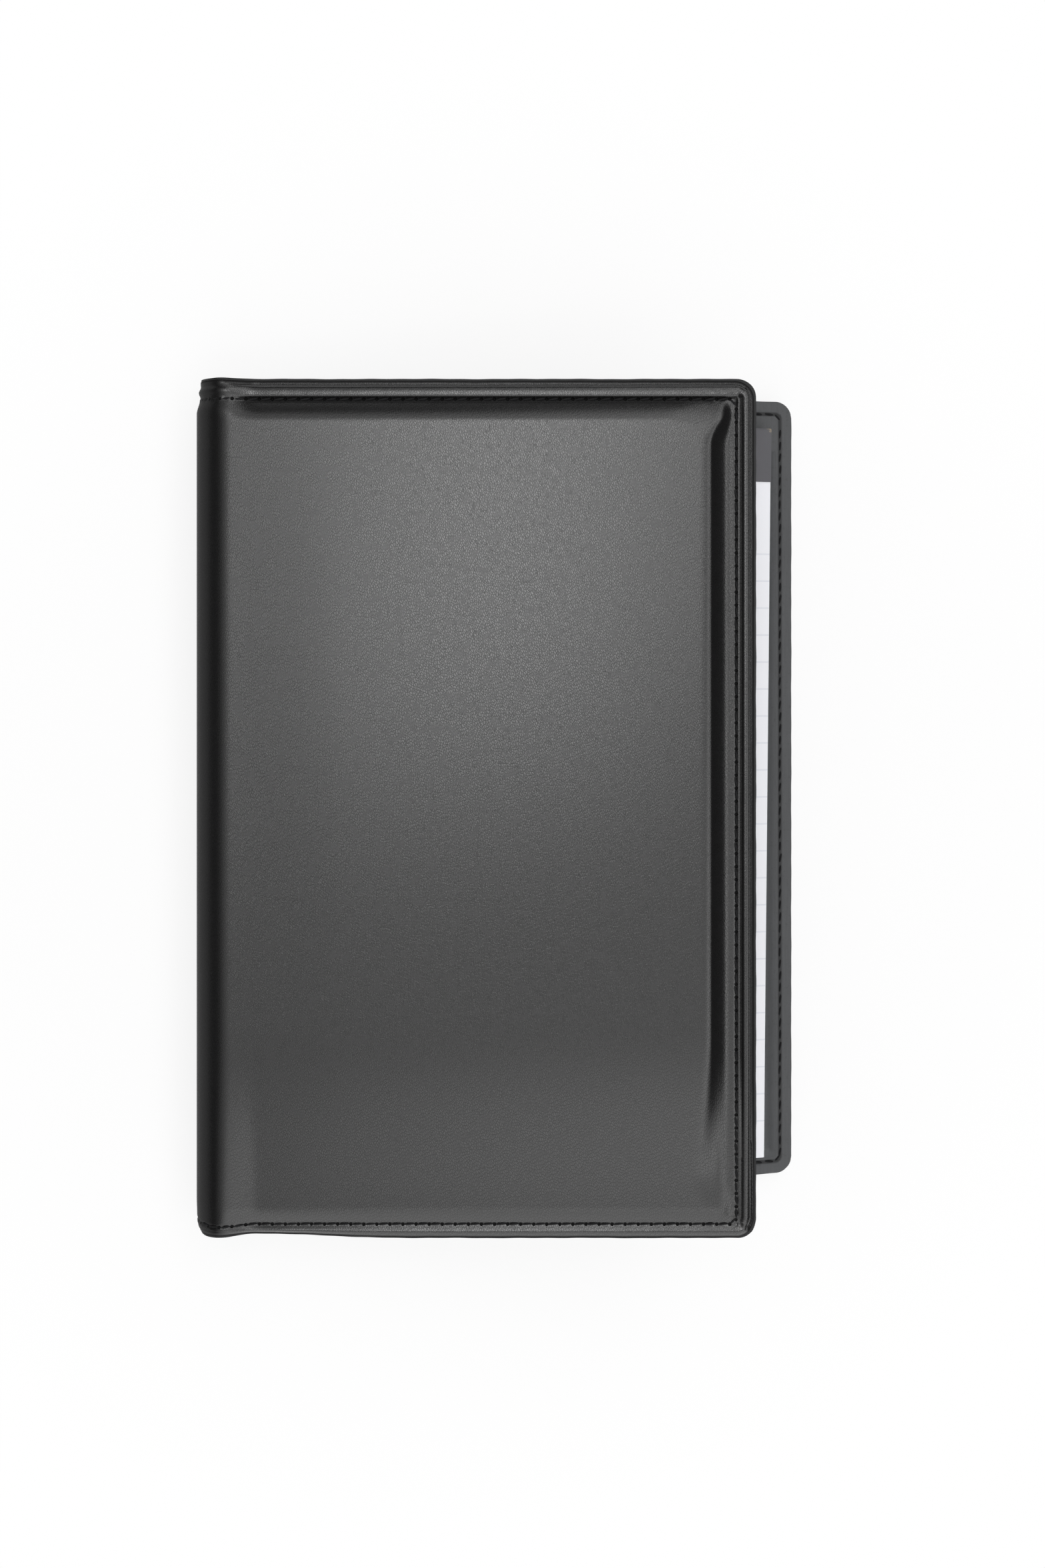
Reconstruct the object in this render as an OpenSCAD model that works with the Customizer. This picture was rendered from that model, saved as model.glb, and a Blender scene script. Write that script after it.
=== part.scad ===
// Padfolio: two padded covers round a soft rolled spine, with a ruled writing pad inside.
// It lies on its rear cover. +X runs from the spine to the free edge and +Y to the head.
// The origin is on its underside, half way along the rear cover's flat stretch.

/* [Covers] */
// Flat length of the front cover, from the roll of the spine to the free edge
front_length = 139.7; // [115:0.1:180]
// Angle between the covers as the padfolio lies
rest_angle = 14; // [8:0.5:24]
// Radius of the free corners
corner_radius = 5; // [3:0.1:8]

/* [Layers] */
// Thickness of the leatherette
skin_t = 0.8; // [0.6:0.05:1.1]
// Thickness of the foam over the boards
foam_t = 2.5; // [2:0.1:3.2]
// Thickness of the boards
board_t = 1.6; // [1.2:0.1:2]
// Thickness of the lining
lining_t = 0.6; // [0.5:0.05:0.8]

/* [Border] */
// How far the lining shows past the skin
lining_margin = 1; // [0.5:0.1:1.5]
// Seam line, in from the edge
seam_inset = 4.9; // [4.4:0.1:6]
// Height of the rounded lip over the inner face
lip_height = 2.7; // [2.5:0.1:3.2]
// Height of the sewn-down groove over the inner face
seam_height = 2; // [1.8:0.05:2.2]
// Width of the sewn-down groove
seam_w = 1.1; // [0.9:0.05:1.3]
// Height of the skin's turned edge over the inner face
edge_height = 1.2; // [1:0.05:1.4]
// Width of the foam's slope at the head and foot
slope_head = 6.8; // [5:0.1:9]
// Width of the foam's slope at the free edge
slope_side = 4; // [3:0.1:6]
// Flat channel beside the seam at the free edge
side_channel = 3.2; // [0.5:0.1:5]

/* [Stitches] */
// Distance from one stitch to the next
stitch_pitch = 3.5; // [3:0.1:6]
// Length of a stitch
stitch_length = 2.6; // [2:0.1:2.8]
// Width of the thread
thread_w = 0.6; // [0.4:0.05:0.7]
// Height of the thread
thread_h = 0.3; // [0.2:0.05:0.35]

/* [Writing pad] */
// Width of the pad
pad_width = 127; // [100:0.5:160]
// Height of the pad
pad_height = 213.2; // [170:0.1:290]
// How far the pad sits askew, in degrees
pad_skew = 0.6; // [0:0.1:2]
// Gap between the pad's highest corner and the head of the cover
pad_head_gap = 8; // [6:0.1:14]
// Play under the pad's lowest corner in its pocket
pad_foot_play = 0.5; // [0.3:0.1:4]
// Play beside the pad in its pocket, on the side of the free edge
pad_edge_play = 2.3; // [0.3:0.1:5]
// Play beside the pad in its pocket, on the side of the spine
pad_spine_play = 3.5; // [0.3:0.1:6]
// Thickness of the sheets together
sheets_t = 3.9; // [2:0.1:5]
// Thickness of the backing card
card_t = 0.6; // [0.4:0.05:0.8]
// Thickness of the tape round the head
tape_t = 0.3; // [0.2:0.05:0.4]
// How far the tape reaches down the face of the pad
header_depth = 15.4; // [10:0.1:24]
// Depth of the glued head, where the card and the sheets are held together over the pocket's mouth
glue_depth = 6.1; // [4:0.1:9]

/* [Pockets] */
// Thickness of the pocket cloth
pocket_t = 0.6; // [0.4:0.05:0.7]
// Width of the sewn-down hem of a pocket
hem_w = 1.5; // [1:0.1:3]
// Clearance inside a pocket and between the pad's layers
slip = 0.1; // [0.05:0.01:0.15]
// Gap between the seam and a pocket
seam_gap = 0.6; // [0.5:0.1:0.8]
// Left edge of the front cover's pockets, from the roll
front_pocket_start = 20; // [18:0.1:30]
// Height of the document pocket
document_height = 140; // [110:1:180]
// Margin of the document pocket beside a card pocket
card_pocket_margin = 9.1; // [2:0.1:12]
// Height of a card pocket
card_pocket_h = 46; // [36:0.5:54]
// Gap between the card pockets, and under the lower one
card_pocket_gap = 12; // [6:0.5:16]
// Depth inside a pocket on the front cover
pocket_depth = 0.4; // [0.3:0.05:0.5]

/* [Pen loop] */
// Radius of a pen that the loop takes, with its play
pen_radius = 3; // [2.5:0.05:6]
// Thickness of the elastic
elastic_t = 0.8; // [0.7:0.05:1]
// Length of the loop along the pen
loop_length = 22; // [12:0.5:30]
// Centre of the loop, from the roll of the spine
loop_place = 8.5; // [7:0.1:12]
// Reach of the loop's sewn-down tail
loop_tail = 9; // [6:0.1:12]
// Gap between the loop's tail and the pad's pocket
loop_gap = 2.5; // [1:0.1:6]
// Room between the loop and the inside of the roll, most of which the covers take up as they close
loop_room = 1.2; // [1.1:0.05:3]

/* [Spine] */
// Angle of the open wedge at each crease, which lets the covers close
crease_wedge = 9; // [8:0.5:12]
// Gap between the roll and the end of a board
board_gap = 4; // [3:0.1:8]

/* [Hidden] */
$fn = 64;
cover_t = skin_t + foam_t + board_t + lining_t;
loop_outer = pen_radius + elastic_t;
loop_level = cover_t + loop_outer;
// The roll is as wide as the pen loop needs when the covers are closed over it.
inner_radius = loop_outer + loop_room;
roll_radius = inner_radius + cover_t;
// Reach of the pad from its middle, askew as it lies.
pad_reach_x = pad_width / 2 * cos(pad_skew) + pad_height / 2 * sin(pad_skew);
pad_reach_y = pad_height / 2 * cos(pad_skew) + pad_width / 2 * sin(pad_skew);
// The pad's pocket lies between the pen loop and the seams, and the rear cover is as large as it needs.
pocket_foot = seam_inset + seam_gap;
pad_pocket_start = loop_place + loop_tail + loop_gap;
pad_pocket_w = 2 * hem_w + pad_spine_play + 2 * pad_reach_x + pad_edge_play;
rear_length = pad_pocket_start + pad_pocket_w + pocket_foot;
cover_height = pocket_foot + hem_w + pad_foot_play + 2 * pad_reach_y + pad_head_gap;
half_h = cover_height / 2;
// Each of the two creases unrolls half of the roll.
crease_turn = (180 - rest_angle) / 2;
crease_radius = roll_radius * crease_turn * PI / 360 / sin(crease_turn / 2);
// Each cover keeps a quarter of the roll, and the spine has the rest.
cover_turn = crease_turn / 2;
// The roll starts here, with the origin half way along the rear cover.
roll_x = -rear_length / 2;
// The lip: shares of its width, in from the skin's edge, and of its height.
lip_points = [[0, 0], [0.24, 0], [0.39, 0.55], [0.54, 0.9], [0.69, 1], [0.84, 0.85]];
lip_w = seam_inset - seam_w / 2 - lining_margin;
slope_steps = 6;
// Share of the slope's width where the board ends under it.
board_step = 0.25;
// Play round the thread in its groove.
groove_play = 0.1;
groove_depth = thread_h + groove_play;
groove_w = thread_w + 2 * groove_play;
// How far a cut runs past the faces that it opens.
overrun = 1;
pad_level = cover_t + slip + tape_t;
plate_level = pad_level + card_t + slip;
sheets_level = plate_level + pocket_t + slip;
pad_x = rear_length / 2 - pocket_foot - hem_w - pad_edge_play - pad_reach_x;
pad_y = half_h - pad_head_gap - pad_reach_y;
// The mouth of the pad's pocket is just under the glued head.
pad_mouth = pad_y + (pad_height / 2 - glue_depth) * cos(pad_skew) - pad_width / 2 * sin(pad_skew) - slip;
document_w = front_length - pocket_foot - front_pocket_start;
pocket_rise = pocket_depth + pocket_t;

// Height of the padded slope over the inner face, for a share of its width from 0 to 1.
function slope_height(share) = seam_height + (cover_t - seam_height) * sin(90 * share);

// Where the slope starts, in from the edge.
function slope_start(channel) = seam_inset + seam_w / 2 + channel;

// Points of the outer surface from the edge inward: distance from the edge, height over the inner face.
function skin_edge(channel, slope) = concat(
    [[lining_margin, lining_t]],
    [for (p = lip_points) [lining_margin + p[0] * lip_w, edge_height + p[1] * (lip_height - edge_height)]],
    [[seam_inset - seam_w / 2, seam_height]],
    [for (i = [0 : slope_steps])
        [slope_start(channel) + slope * i / slope_steps, slope_height(i / slope_steps)]]
);

// The same for the foam, one skin's thickness under the slope and no lower than its base.
function foam_edge(channel, slope, base) = let (
    raised = [for (i = [0 : slope_steps]) if (slope_height(i / slope_steps) - skin_t > base) i]
) concat(
    [[slope_start(channel) + slope * raised[0] / slope_steps, base]],
    [for (i = raised)
        [slope_start(channel) + slope * i / slope_steps, slope_height(i / slope_steps) - skin_t]]
);

// A cross-section from foot to head, with both of its edges alike.
function head_to_foot(edge) = concat(
    [for (p = edge) [half_h - p[0], p[1]]],
    [for (i = [len(edge) - 1 : -1 : 0]) [edge[i][0] - half_h, edge[i][1]]]
);

// A cross-section from the roll to the free edge of a cover.
function roll_to_edge(edge, length) = concat(
    [[0, edge[0][1]], [0, edge[len(edge) - 1][1]]],
    [for (i = [len(edge) - 1 : -1 : 0]) [length - edge[i][0], edge[i][1]]]
);

// The foam of the roll, and of the strip of cover between the roll and the board.
roll_foam = head_to_foot(foam_edge(0, slope_head, lining_t));

// A cross-section of a flat layer, from one height to another.
function layer(inset, low, high) = [
    [half_h - inset, low], [half_h - inset, high], [inset - half_h, high], [inset - half_h, low]
];

// Sweeps a foot-to-head section along X.
module along_x(section, start, end)
    translate([start, 0, 0]) rotate([90, 0, 90]) linear_extrude(end - start) polygon(section);

// Sweeps a section in X and Z along Y, over the given height.
module along_y(section, height)
    rotate([90, 0, 0]) linear_extrude(height, center = true) polygon(section);

// Sweeps a foot-to-head section round the roll, from the end of a flat stretch and through the given turn.
module round_roll(section, turn)
    translate([0, 0, -inner_radius]) rotate([90, -90, 0])
        rotate_extrude(angle = turn) polygon([for (p = section) [inner_radius + p[1], p[0]]]);

// Pieces of a cover are built with the inner face at height 0 and the outside up.
// This turns them over for the rear cover.
module on_rear() translate([roll_x, 0, cover_t]) mirror([0, 0, 1]) children();

// Swings pieces about the roll's axis, through an angle from lying over the rear cover.
module on_roll(angle)
    translate([roll_x, 0, roll_radius]) rotate([0, -angle, 0]) translate([0, 0, inner_radius]) children();

module on_front() on_roll(rest_angle) children();

module on_spine() on_roll(rest_angle + cover_turn) children();

// A wedge that parts the spine from a cover, with its tip on the crease line.
module crease_gap(turn)
    translate([0, 0, -inner_radius]) rotate([0, -turn, 0])
        along_y([
            [0, crease_radius],
            [-crease_radius * tan(crease_wedge / 2), 0],
            [crease_radius * tan(crease_wedge / 2), 0]
        ], cover_height + overrun);

// Outline of a cover, with its free corners rounded.
module cover_plan(length, inset, radius) {
    half = half_h - inset;
    reach = length - inset;
    translate([0, -half]) square([reach - radius, 2 * half]);
    translate([0, radius - half]) square([reach, 2 * (half - radius)]);
    for (side = [-1, 1]) translate([reach - radius, side * (half - radius)]) circle(radius);
}

// The foam of a cover's flat stretch.
module flat_foam(length) {
    base = lining_t + board_t;
    intersection() {
        along_x(head_to_foot(foam_edge(0, slope_head, base)), 0, length);
        along_y(roll_to_edge(foam_edge(side_channel, slope_side, base), length), cover_height);
    }
}

// The stiff board of a cover.
module flat_board(length) {
    inset = slope_start(0) + slope_head * board_step;
    reach = length - slope_start(side_channel) - slope_side * board_step;
    translate([board_gap, inset - half_h, lining_t])
        cube([reach - board_gap, cover_height - 2 * inset, board_t]);
}

// The strip of foam beside the board.
module foam_strip()
    intersection() {
        along_x(roll_foam, 0, board_gap);
        along_x(layer(0, lining_t, lining_t + board_t), 0, board_gap);
    }

// The skin of a cover's flat stretch, hollow for the foam and the board.
module flat_skin(length)
    difference() {
        intersection() {
            along_x(head_to_foot(skin_edge(0, slope_head)), 0, length);
            along_y(roll_to_edge(skin_edge(side_channel, slope_side), length), cover_height);
            linear_extrude(cover_t) cover_plan(length, lining_margin, corner_radius);
        }
        flat_foam(length);
        flat_board(length);
        foam_strip();
    }

// The skin of the roll through a turn, cut at the creases.
module roll_skin(turn, creases)
    difference() {
        round_roll(head_to_foot(skin_edge(0, slope_head)), turn);
        round_roll(roll_foam, turn);
        for (c = creases) crease_gap(c);
    }

// The foam of the roll through a turn, cut at the creases.
module roll_padding(turn, creases)
    difference() {
        round_roll(roll_foam, turn);
        for (c = creases) crease_gap(c);
    }

// The lining of a cover's flat stretch, grooved for the inner side of the seam.
module flat_lining(length) {
    side_seam = length - seam_inset;
    head_seam = half_h - seam_inset;
    difference() {
        linear_extrude(lining_t) cover_plan(length, 0, corner_radius);
        for (side = [-1, 1])
            translate([-overrun, side * head_seam - groove_w / 2, -overrun])
                cube([side_seam + groove_w / 2 + overrun, groove_w, groove_depth + overrun]);
        translate([side_seam - groove_w / 2, -head_seam, -overrun])
            cube([groove_w, 2 * head_seam, groove_depth + overrun]);
    }
}

// The lining of the roll through a turn, grooved for the seam and cut at the creases.
module roll_lining(turn, creases) {
    groove = [
        for (p = [[-1, -overrun], [-1, groove_depth], [1, groove_depth], [1, -overrun]])
            [half_h - seam_inset + p[0] * groove_w / 2, p[1]]
    ];
    difference() {
        round_roll(layer(0, 0, lining_t), turn);
        round_roll(groove, turn);
        mirror([0, 1, 0]) round_roll(groove, turn);
        for (c = creases) crease_gap(c);
    }
}

// One stitch, lying along X with its underside on the surface.
module stitch(length)
    translate([-length / 2, -thread_w / 2, 0]) cube([length, thread_w, thread_h]);

// The seam of a cover's flat stretch at one height.
module flat_seam(length, level) {
    side_seam = length - seam_inset;
    head_seam = half_h - seam_inset;
    long_count = floor((side_seam - stitch_pitch) / stitch_pitch);
    side_count = floor((2 * head_seam - stitch_pitch) / stitch_pitch);
    for (side = [-1, 1], i = [0 : long_count - 1])
        translate([side_seam - (i + 1) * stitch_pitch, side * head_seam, level]) stitch(stitch_length);
    for (i = [0 : side_count - 1])
        translate([side_seam, (i - (side_count - 1) / 2) * stitch_pitch, level])
            rotate([0, 0, 90]) stitch(stitch_length);
}

// The seam round the roll through a turn, with its stitches at equal angles.
module roll_seam(turn) {
    outer = inner_radius + seam_height;
    step = stitch_pitch / outer * 180 / PI;
    count = max(1, floor((turn - crease_wedge) / step));
    inner_length = stitch_length * inner_radius / outer;
    for (side = [-1, 1], i = [0 : count - 1])
        translate([0, side * (half_h - seam_inset), -inner_radius])
            rotate([0, -turn / 2 - (i - (count - 1) / 2) * step, 0]) {
                translate([0, 0, outer]) stitch(stitch_length);
                translate([0, 0, inner_radius]) stitch(inner_length);
            }
}

// The layers of a whole cover: its flat stretch and its quarter of the roll.
module cover_skin(length) {
    flat_skin(length);
    roll_skin(cover_turn, [cover_turn]);
}

module cover_foam(length) {
    flat_foam(length);
    foam_strip();
    roll_padding(cover_turn, [cover_turn]);
}

module cover_lining(length) {
    flat_lining(length);
    roll_lining(cover_turn, [cover_turn]);
}

module cover_stitching(length) {
    flat_seam(length, seam_height);
    flat_seam(length, 0);
    roll_seam(cover_turn);
}

// A pocket sewn down along its two sides and its foot, standing on the face at height 0.
module pocket(size, depth) {
    rise = depth + pocket_t;
    translate([0, 0, depth]) cube([size[0], size[1], pocket_t]);
    for (x = [0, size[0] - hem_w]) translate([x, 0, 0]) cube([hem_w, size[1], rise]);
    cube([size[0], hem_w, rise]);
}

// Puts a piece that stands on a cover's inner face there.
module inside_front() on_front() mirror([0, 0, 1]) children();

// Puts a piece of the pad in its place, turned askew about the pad's middle.
module on_pad()
    translate([pad_x, pad_y, 0]) rotate([0, 0, -pad_skew]) children();

module rear_skin() color([0.1, 0.1, 0.1]) on_rear() cover_skin(rear_length);

module rear_foam() color([0.75, 0.75, 0.7]) on_rear() cover_foam(rear_length);

module rear_board() color([0.55, 0.5, 0.42]) on_rear() flat_board(rear_length);

module rear_lining() color([0.27, 0.28, 0.29]) on_rear() cover_lining(rear_length);

module rear_stitching() color([0.05, 0.05, 0.05]) on_rear() cover_stitching(rear_length);

module pad_pocket() color([0.24, 0.25, 0.26])
    translate([roll_x + pad_pocket_start, pocket_foot - half_h, cover_t])
        pocket([pad_pocket_w, pad_mouth + half_h - pocket_foot], plate_level - cover_t);

module pen_loop() color([0.08, 0.08, 0.08])
    translate([roll_x + loop_place, loop_length / 2, loop_level]) rotate([90, 0, 0])
        difference() {
            union() {
                cylinder(h = loop_length, r = loop_outer);
                translate([0, -loop_outer, 0]) cube([loop_tail, elastic_t, loop_length]);
            }
            translate([0, 0, -overrun]) cylinder(h = loop_length + 2 * overrun, r = pen_radius);
        }

module spine_skin() color([0.1, 0.1, 0.1]) on_spine() roll_skin(crease_turn, [0, crease_turn]);

module spine_foam() color([0.75, 0.75, 0.7]) on_spine() roll_padding(crease_turn, [0, crease_turn]);

module spine_lining() color([0.27, 0.28, 0.29]) on_spine() roll_lining(crease_turn, [0, crease_turn]);

module spine_stitching() color([0.05, 0.05, 0.05]) on_spine() roll_seam(crease_turn);

module front_skin() color([0.1, 0.1, 0.1]) on_front() cover_skin(front_length);

module front_foam() color([0.75, 0.75, 0.7]) on_front() cover_foam(front_length);

module front_board() color([0.55, 0.5, 0.42]) on_front() flat_board(front_length);

module front_lining() color([0.27, 0.28, 0.29]) on_front() cover_lining(front_length);

module front_stitching() color([0.05, 0.05, 0.05]) on_front() cover_stitching(front_length);

module document_pocket() color([0.24, 0.25, 0.26])
    inside_front() translate([front_pocket_start, pocket_foot - half_h, 0])
        pocket([document_w, document_height], pocket_depth);

// A card pocket on the face of the document pocket, in a row counted from the foot.
module card_pocket(row) color([0.22, 0.23, 0.24])
    inside_front()
        translate([
            front_pocket_start + card_pocket_margin,
            pocket_foot - half_h + card_pocket_gap + row * (card_pocket_h + card_pocket_gap),
            pocket_rise
        ]) pocket([document_w - 2 * card_pocket_margin, card_pocket_h], pocket_depth);

module card_pocket_lower() card_pocket(0);

module card_pocket_upper() card_pocket(1);

// The stitches that hold the document pocket's hems.
module pocket_stitching() color([0.05, 0.05, 0.05]) {
    side_count = floor((document_height - hem_w) / stitch_pitch);
    foot_count = floor((document_w - 2 * hem_w) / stitch_pitch);
    inside_front() translate([front_pocket_start, pocket_foot - half_h, pocket_rise]) {
        for (x = [hem_w / 2, document_w - hem_w / 2], i = [0 : side_count - 1])
            translate([x, hem_w + (i + 0.5) * stitch_pitch, 0]) rotate([0, 0, 90]) stitch(stitch_length);
        for (i = [0 : foot_count - 1])
            translate([document_w / 2 + (i - (foot_count - 1) / 2) * stitch_pitch, hem_w / 2, 0])
                stitch(stitch_length);
    }
}

module pad_card() color([0.62, 0.56, 0.46])
    on_pad() translate([-pad_width / 2, -pad_height / 2, pad_level]) cube([pad_width, pad_height, card_t]);

module pad_sheets() color([0.95, 0.95, 0.97])
    on_pad() {
        translate([-pad_width / 2, -pad_height / 2, sheets_level]) cube([pad_width, pad_height, sheets_t]);
        translate([-pad_width / 2, pad_height / 2 - glue_depth, pad_level + card_t])
            cube([pad_width, glue_depth, sheets_level - pad_level - card_t]);
    }

module pad_header() color([0.12, 0.12, 0.13]) {
    top = sheets_level + sheets_t;
    on_pad() translate([-pad_width / 2, pad_height / 2, 0]) {
        translate([0, -header_depth, top]) cube([pad_width, header_depth + tape_t, tape_t]);
        translate([0, 0, pad_level - tape_t]) cube([pad_width, tape_t, top + 2 * tape_t - pad_level]);
        translate([0, -glue_depth, pad_level - tape_t]) cube([pad_width, glue_depth + tape_t, tape_t]);
    }
}

rear_skin();
rear_foam();
rear_board();
rear_lining();
rear_stitching();
pad_pocket();
pen_loop();
spine_skin();
spine_foam();
spine_lining();
spine_stitching();
front_skin();
front_foam();
front_board();
front_lining();
front_stitching();
document_pocket();
card_pocket_lower();
card_pocket_upper();
pocket_stitching();
pad_card();
pad_sheets();
pad_header();
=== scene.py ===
"""Looks of a padded leatherette padfolio, lying on its rear cover with the front cover sprung open."""

import math
from dataclasses import dataclass

import bmesh
import bpy
import numpy as np
from mathutils import Matrix, Vector


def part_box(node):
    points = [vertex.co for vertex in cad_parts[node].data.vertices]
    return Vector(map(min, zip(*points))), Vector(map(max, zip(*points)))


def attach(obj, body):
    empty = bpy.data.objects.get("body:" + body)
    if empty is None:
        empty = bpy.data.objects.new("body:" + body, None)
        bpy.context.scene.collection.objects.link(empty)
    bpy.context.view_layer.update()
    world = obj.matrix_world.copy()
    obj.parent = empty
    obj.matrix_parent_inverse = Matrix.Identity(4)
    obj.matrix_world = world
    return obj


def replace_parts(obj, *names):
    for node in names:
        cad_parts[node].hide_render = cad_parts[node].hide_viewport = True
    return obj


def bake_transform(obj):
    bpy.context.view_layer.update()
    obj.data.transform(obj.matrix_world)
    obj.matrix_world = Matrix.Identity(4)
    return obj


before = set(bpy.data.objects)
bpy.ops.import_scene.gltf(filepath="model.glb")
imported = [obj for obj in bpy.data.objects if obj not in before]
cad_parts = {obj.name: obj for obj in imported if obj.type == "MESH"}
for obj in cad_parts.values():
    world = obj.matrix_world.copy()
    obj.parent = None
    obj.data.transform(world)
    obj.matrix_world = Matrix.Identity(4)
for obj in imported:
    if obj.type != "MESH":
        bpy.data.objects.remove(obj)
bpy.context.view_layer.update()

# Sizes are in millimetres, as in the part's source, and the meshes are in metres.
MM = 0.001
rest_angle = 14
inner_radius = 5.0
lining_t = 0.6
board_t = 1.6
skin_t = 0.8
cover_t = 5.5
corner_radius = 5.0
stitch_pitch = 3.5
# The leather's rim is this far in from the lining's raw edge.
lining_margin = 0.6
# Faces that lie on each other are this far apart.
gap = 0.02
# Edges that bend more than this are sharp.
sharp_angle = math.radians(50)

# The padding holds each cover flat a little way past its straight part.
# From there its layers go half way round the roll.
tilt = math.radians(rest_angle)
roll_radius = inner_radius + cover_t
roll_start = 0.95
half_turn = (math.pi - tilt) / 2 - roll_start * math.sin(tilt / 2) / roll_radius
half_roll = roll_start + roll_radius * half_turn
# The half roll bends between these shares of its way.
bend_shares = 0.262, 0.738

lining_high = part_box("rear_lining")[1]
half_h = lining_high.y / MM
rear_length = 2 * lining_high.x / MM
roll_x = -rear_length / 2
front_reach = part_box("front_lining")[1].x / MM - roll_x
front_length = (front_reach + inner_radius * math.sin(tilt)) / math.cos(tilt)

# The writing pad's sizes
pad_width = 127.0
pad_height = 213.2
pad_skew = 0.6
header_depth = 15.4
glue_depth = 6.1
tape_t = 0.3
rule_pitch = 7.9
rule_count = 22
space_over_rules = 21.2
first_rule = pad_height / 2 - header_depth - space_over_rules


# Small helpers

def ease(value, start, end):
    """0 before start, 1 after end, and smooth between them."""
    share = np.clip((value - start) / (end - start), 0, 1)
    return share * share * (3 - 2 * share)


def profile(points, distance):
    """Height at a distance from an edge, easing from each given point to the next."""
    height = np.full_like(distance, points[0][1])
    for (near, low), (far, high) in zip(points, points[1:]):
        height += (high - low) * ease(distance, near, far)
    return height


def wave(along, *lengths):
    """Unevenness along a line, from -1 to 1: the mean of sines of the given lengths."""
    phase = 1.7
    sines = [np.sin(2 * np.pi * along / size + phase * i + size) for i, size in enumerate(lengths)]
    return sum(sines) / len(lengths)


def places(mesh):
    """The vertices of a mesh, as an array."""
    spots = np.empty(len(mesh.vertices) * 3, np.float32)
    mesh.vertices.foreach_get("co", spots)
    return spots.reshape(-1, 3).astype(float)


def moved(spots, place):
    """Spots moved by a matrix."""
    place = np.array(place)
    return spots @ place[:3, :3].T + place[:3, 3]


def mesh_from(bm, name):
    """Turns a bmesh into a mesh and frees it."""
    mesh = bpy.data.meshes.new(name)
    bm.to_mesh(mesh)
    bm.free()
    return mesh


def add_object(name, data):
    """Adds an object to the scene."""
    made = bpy.data.objects.new(name, data)
    bpy.context.scene.collection.objects.link(made)
    return made


def shell(name, columns, rows):
    """A closed shell in two layers: its mesh, and each vertex's column, row and layer."""
    half = 0.5
    columns, rows = np.array(columns), np.array(rows)
    across, along = len(columns) - 1, len(rows) - 1
    bm = bmesh.new()
    bmesh.ops.create_grid(bm, x_segments=across, y_segments=along, size=half)
    raised = bmesh.ops.extrude_face_region(bm, geom=bm.faces[:])["geom"]
    upper = [part for part in raised if isinstance(part, bmesh.types.BMVert)]
    bmesh.ops.translate(bm, vec=(0, 0, 1), verts=upper)
    bmesh.ops.recalc_face_normals(bm, faces=bm.faces[:])
    mesh = mesh_from(bm, name)
    spots = places(mesh)
    column = columns[np.rint((spots[:, 0] + half) * across).astype(int)]
    row = rows[np.rint((spots[:, 1] + half) * along).astype(int)]
    return mesh, column, row, spots[:, 2] > half


def keep_vectors(mesh, name, vectors):
    """Keeps a vector for each vertex, for the finishes to read."""
    kept = mesh.attributes.new(name, "FLOAT_VECTOR", "POINT")
    kept.data.foreach_set("vector", vectors.astype(np.float32).ravel())


def finish_piece(mesh, flat, spots, finish, flip=False):
    """Puts a mesh's vertices at their spots, keeps where they lay when flat, and gives it its finish."""
    mesh.vertices.foreach_set("co", (spots * MM).astype(np.float32).ravel())
    keep_vectors(mesh, "flat", flat)
    if flip:
        mesh.flip_normals()
    mesh.shade_smooth()
    mesh.set_sharp_from_angle(angle=sharp_angle)
    mesh.update()
    mesh.materials.append(finish)
    piece = add_object(mesh.name, mesh)
    return piece


@dataclass
class Cover:
    """A cover and its half of the roll, on which layers are laid out flat and then wrapped."""
    name: str
    length: float
    edge_seam: float
    head_seam: float
    foot_seam: float
    foot_out: float
    rim: float
    place: Matrix
    flip: bool

    def end_seam(self, side):
        """How far the seam is from the head or the foot, whichever is nearer."""
        return np.where(side > 0, self.head_seam, self.foot_seam)

    def lay(self, flat):
        """Wraps flat places (along the cover from the roll, along the spine, height over the inner face)."""
        along, side, height = flat.T
        turn = np.maximum(-roll_start - along, 0) / roll_radius
        radius = inner_radius + height
        out = np.maximum(along, -roll_start) - radius * np.sin(turn)
        up = radius * np.cos(turn) - inner_radius
        return moved(np.stack([out, side, up], axis=1), self.place)

    def follow(self, piece):
        """Bakes a piece's placing into its mesh. Where the roll's bend starts and ends is worked out, but not
        used.
        """
        tangent, middle = self.lay(np.array([[0, 0, cover_t], [-half_roll, 0, cover_t]])) * MM
        start, end = (tangent + share * (middle - tangent) for share in bend_shares)
        if self.name == "rear":
            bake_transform(piece)
        else:
            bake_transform(piece)
        return piece


rear_place = Matrix.Translation((roll_x, 0, cover_t)) @ Matrix.Diagonal((1, 1, -1, 1))
rear = Cover(
    "rear", rear_length, edge_seam=4.0, head_seam=4.2, foot_seam=4.0, foot_out=0, rim=0.45,
    place=rear_place, flip=True)
roll_middle = Matrix.Translation((roll_x, 0, roll_radius))
front_place = roll_middle @ Matrix.Rotation(-tilt, 4, "Y") @ Matrix.Translation((0, 0, inner_radius))
front = Cover(
    "front", front_length, edge_seam=5.5, head_seam=5.6, foot_seam=3.6, foot_out=0.7, rim=0,
    place=front_place, flip=False)


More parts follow.
